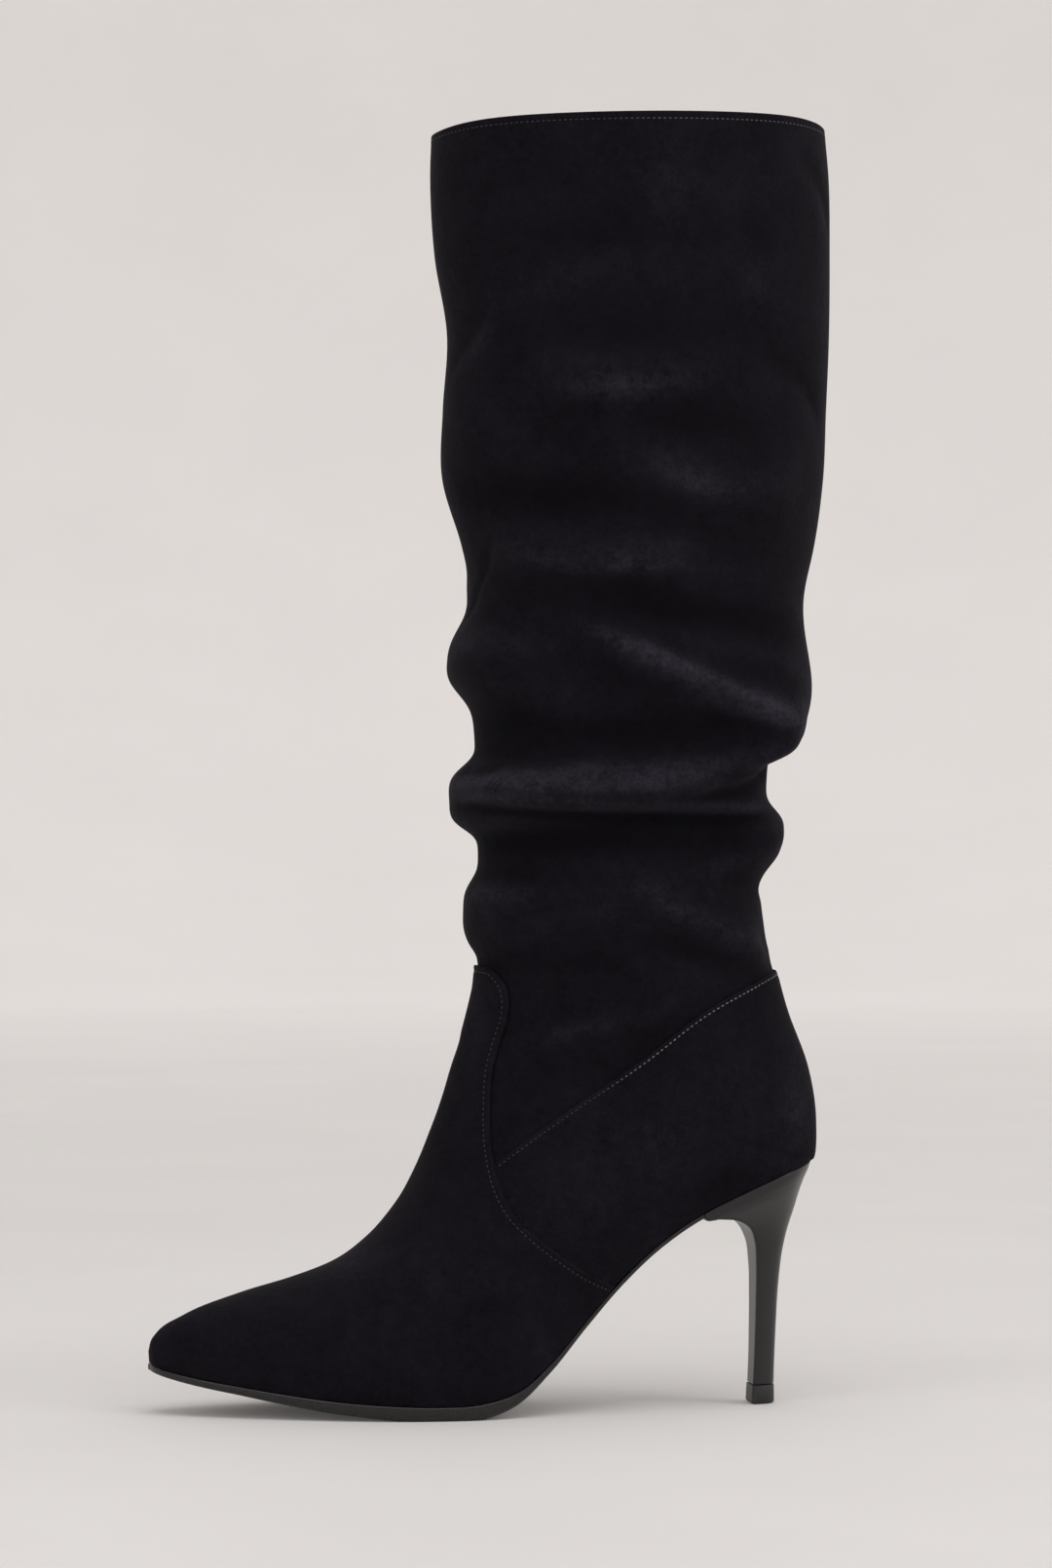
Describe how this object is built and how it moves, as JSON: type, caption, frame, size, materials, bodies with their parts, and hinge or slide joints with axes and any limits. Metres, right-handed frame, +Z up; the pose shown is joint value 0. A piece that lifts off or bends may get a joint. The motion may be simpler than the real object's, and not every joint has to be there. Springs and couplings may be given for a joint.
{
  "type": "slouch boot",
  "caption": "Left knee-high slouch boot in soft suede with a folded leg, pointed toe, thin sole and tall thin heel.",
  "frame": {"origin": "on the ground, under the middle of the boot's bounding box", "axes": "+Z up the leg; the toe points to -X and the stiletto heel is towards +X; the outer side of the foot is -Y"},
  "size_m": [0.2536, 0.094, 0.4746],
  "materials": {
    "suede": "napped, soft black suede",
    "insole_leather": "smooth black lining leather",
    "sole": "thin black sole with a polished edge",
    "heel_plastic": "satin black",
    "top_rubber": "matt black"
  },
  "bodies": {
    "root": {"upper": "suede", "vamp": "suede", "counter": "suede", "insole": "insole_leather", "outsole": "sole", "heel": "heel_plastic", "top_piece": "top_rubber"}
  },
  "joints": []
}
